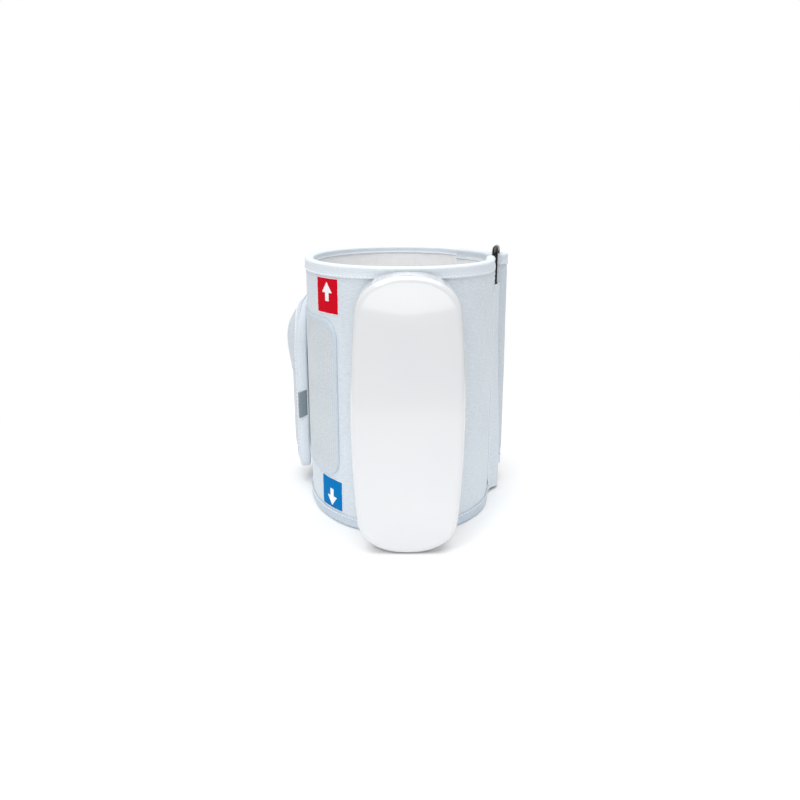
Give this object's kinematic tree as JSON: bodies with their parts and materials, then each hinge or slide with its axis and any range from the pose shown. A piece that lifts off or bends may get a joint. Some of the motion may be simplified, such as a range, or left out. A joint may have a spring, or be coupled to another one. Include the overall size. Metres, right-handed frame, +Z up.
{
  "type": "upper-arm blood pressure monitor",
  "caption": "Preformed fabric arm cuff closed by a strap through a metal ring, with a slim upright monitor housing docked on its front and a start button on the housing's side.",
  "frame": {"origin": "middle of the underside of the part's box, on the surface the cuff stands on", "axes": "+Z up along the cuff's opening, -Y the way the housing's face looks, +X to the right as seen from the front"},
  "size_m": [0.1396, 0.1812, 0.153],
  "materials": {
    "cuff_cloth": "fine ribbed woven cloth",
    "edge_tape": "folded satin tape",
    "lining_cloth": "soft brushed cloth",
    "patch_cloth": "ribbed loop cloth",
    "red_label": "printed satin",
    "blue_label": "printed satin",
    "label_print": "raised print",
    "hook_tape": "moulded hooks",
    "tab_ribbon": "woven ribbon",
    "spring_sheet": "satin",
    "bladder_film": "satin film",
    "dock_plastic": "satin",
    "case_plastic": "high gloss",
    "button_plastic": "satin",
    "steel": "polished",
    "ring_metal": "bright plated",
    "board": "glass fibre board with solder mask",
    "chip_black": "moulded",
    "battery_foil": "laminated pouch",
    "foam": "closed foam with adhesive",
    "black_rubber": "matt",
    "copper_core": "wound copper on steel",
    "pump_plastic": "moulded",
    "valve_plastic": "moulded",
    "clear_tube": "clear silicone",
    "clear_plastic": "clear"
  },
  "bodies": {
    "cuff": {"outer_cloth": "cuff_cloth", "curl_sheet": "spring_sheet", "air_bladder": "bladder_film", "lining": "lining_cloth", "top_tape": "edge_tape", "bottom_tape": "edge_tape", "fastening_patch": "patch_cloth", "up_label": "red_label", "up_arrow": "label_print", "down_label": "blue_label", "down_arrow": "label_print", "ring_sleeve": "cuff_cloth", "strap": "cuff_cloth", "strap_tape": "edge_tape", "dock_plate": "dock_plastic", "air_port": "clear_plastic"},
    "ring": {"metal_ring": "ring_metal"},
    "flap": {"flap": "cuff_cloth", "flap_tape": "edge_tape", "hook_pad": "hook_tape", "pull_tab": "tab_ribbon"},
    "monitor": {"front_cover": "case_plastic", "rear_case": "case_plastic", "case_screws": "steel", "main_board": "board", "board_chips": "chip_black", "pressure_sensor": "chip_black", "battery": "battery_foil", "battery_pad": "foam", "pump_motor": "steel", "motor_grip": "black_rubber", "pump_head": "pump_plastic", "diaphragm": "black_rubber", "pump_cap": "pump_plastic", "valve_body": "valve_plastic", "air_tubes": "clear_tube", "tube_tee": "pump_plastic", "air_socket": "pump_plastic", "socket_seal": "black_rubber", "push_switch": "chip_black", "light_pipe": "clear_plastic", "charge_socket": "steel"},
    "rotor": {"motor_core": "copper_core", "motor_shaft": "steel"},
    "valve": {"valve_plunger": "steel"},
    "button": {"start_button": "button_plastic", "switch_plunger": "pump_plastic"}
  },
  "joints": [
    {"name": "housing_undock", "type": "slide", "parent": "cuff", "child": "monitor", "axis": [0, -1, 0], "range_m": [0, 0.012]},
    {"name": "flap_peel", "type": "hinge", "parent": "cuff", "child": "flap", "pos_m": [-0.04472, 0.06186, 0.07], "axis": [0, 0, -1], "range_deg": [0, 75]},
    {"name": "ring_swing", "type": "hinge", "parent": "cuff", "child": "ring", "pos_m": [0.0597, 0.00723, 0.08], "axis": [0, 0, 1], "range_deg": [-2, 2]},
    {"name": "start_press", "type": "slide", "parent": "monitor", "child": "button", "axis": [-1, 0, 0], "range_m": [0, 0.0008], "stiffness_N_per_m": 900},
    {"name": "pump_turn", "type": "hinge", "parent": "monitor", "child": "rotor", "pos_m": [-0.00311, -0.0773, 0.0274], "axis": [1, 0, 0], "continuous": true},
    {"name": "valve_lift", "type": "slide", "parent": "monitor", "child": "valve", "axis": [0, 0, 1], "range_m": [0, 0.0006], "stiffness_N_per_m": 300}
  ]
}
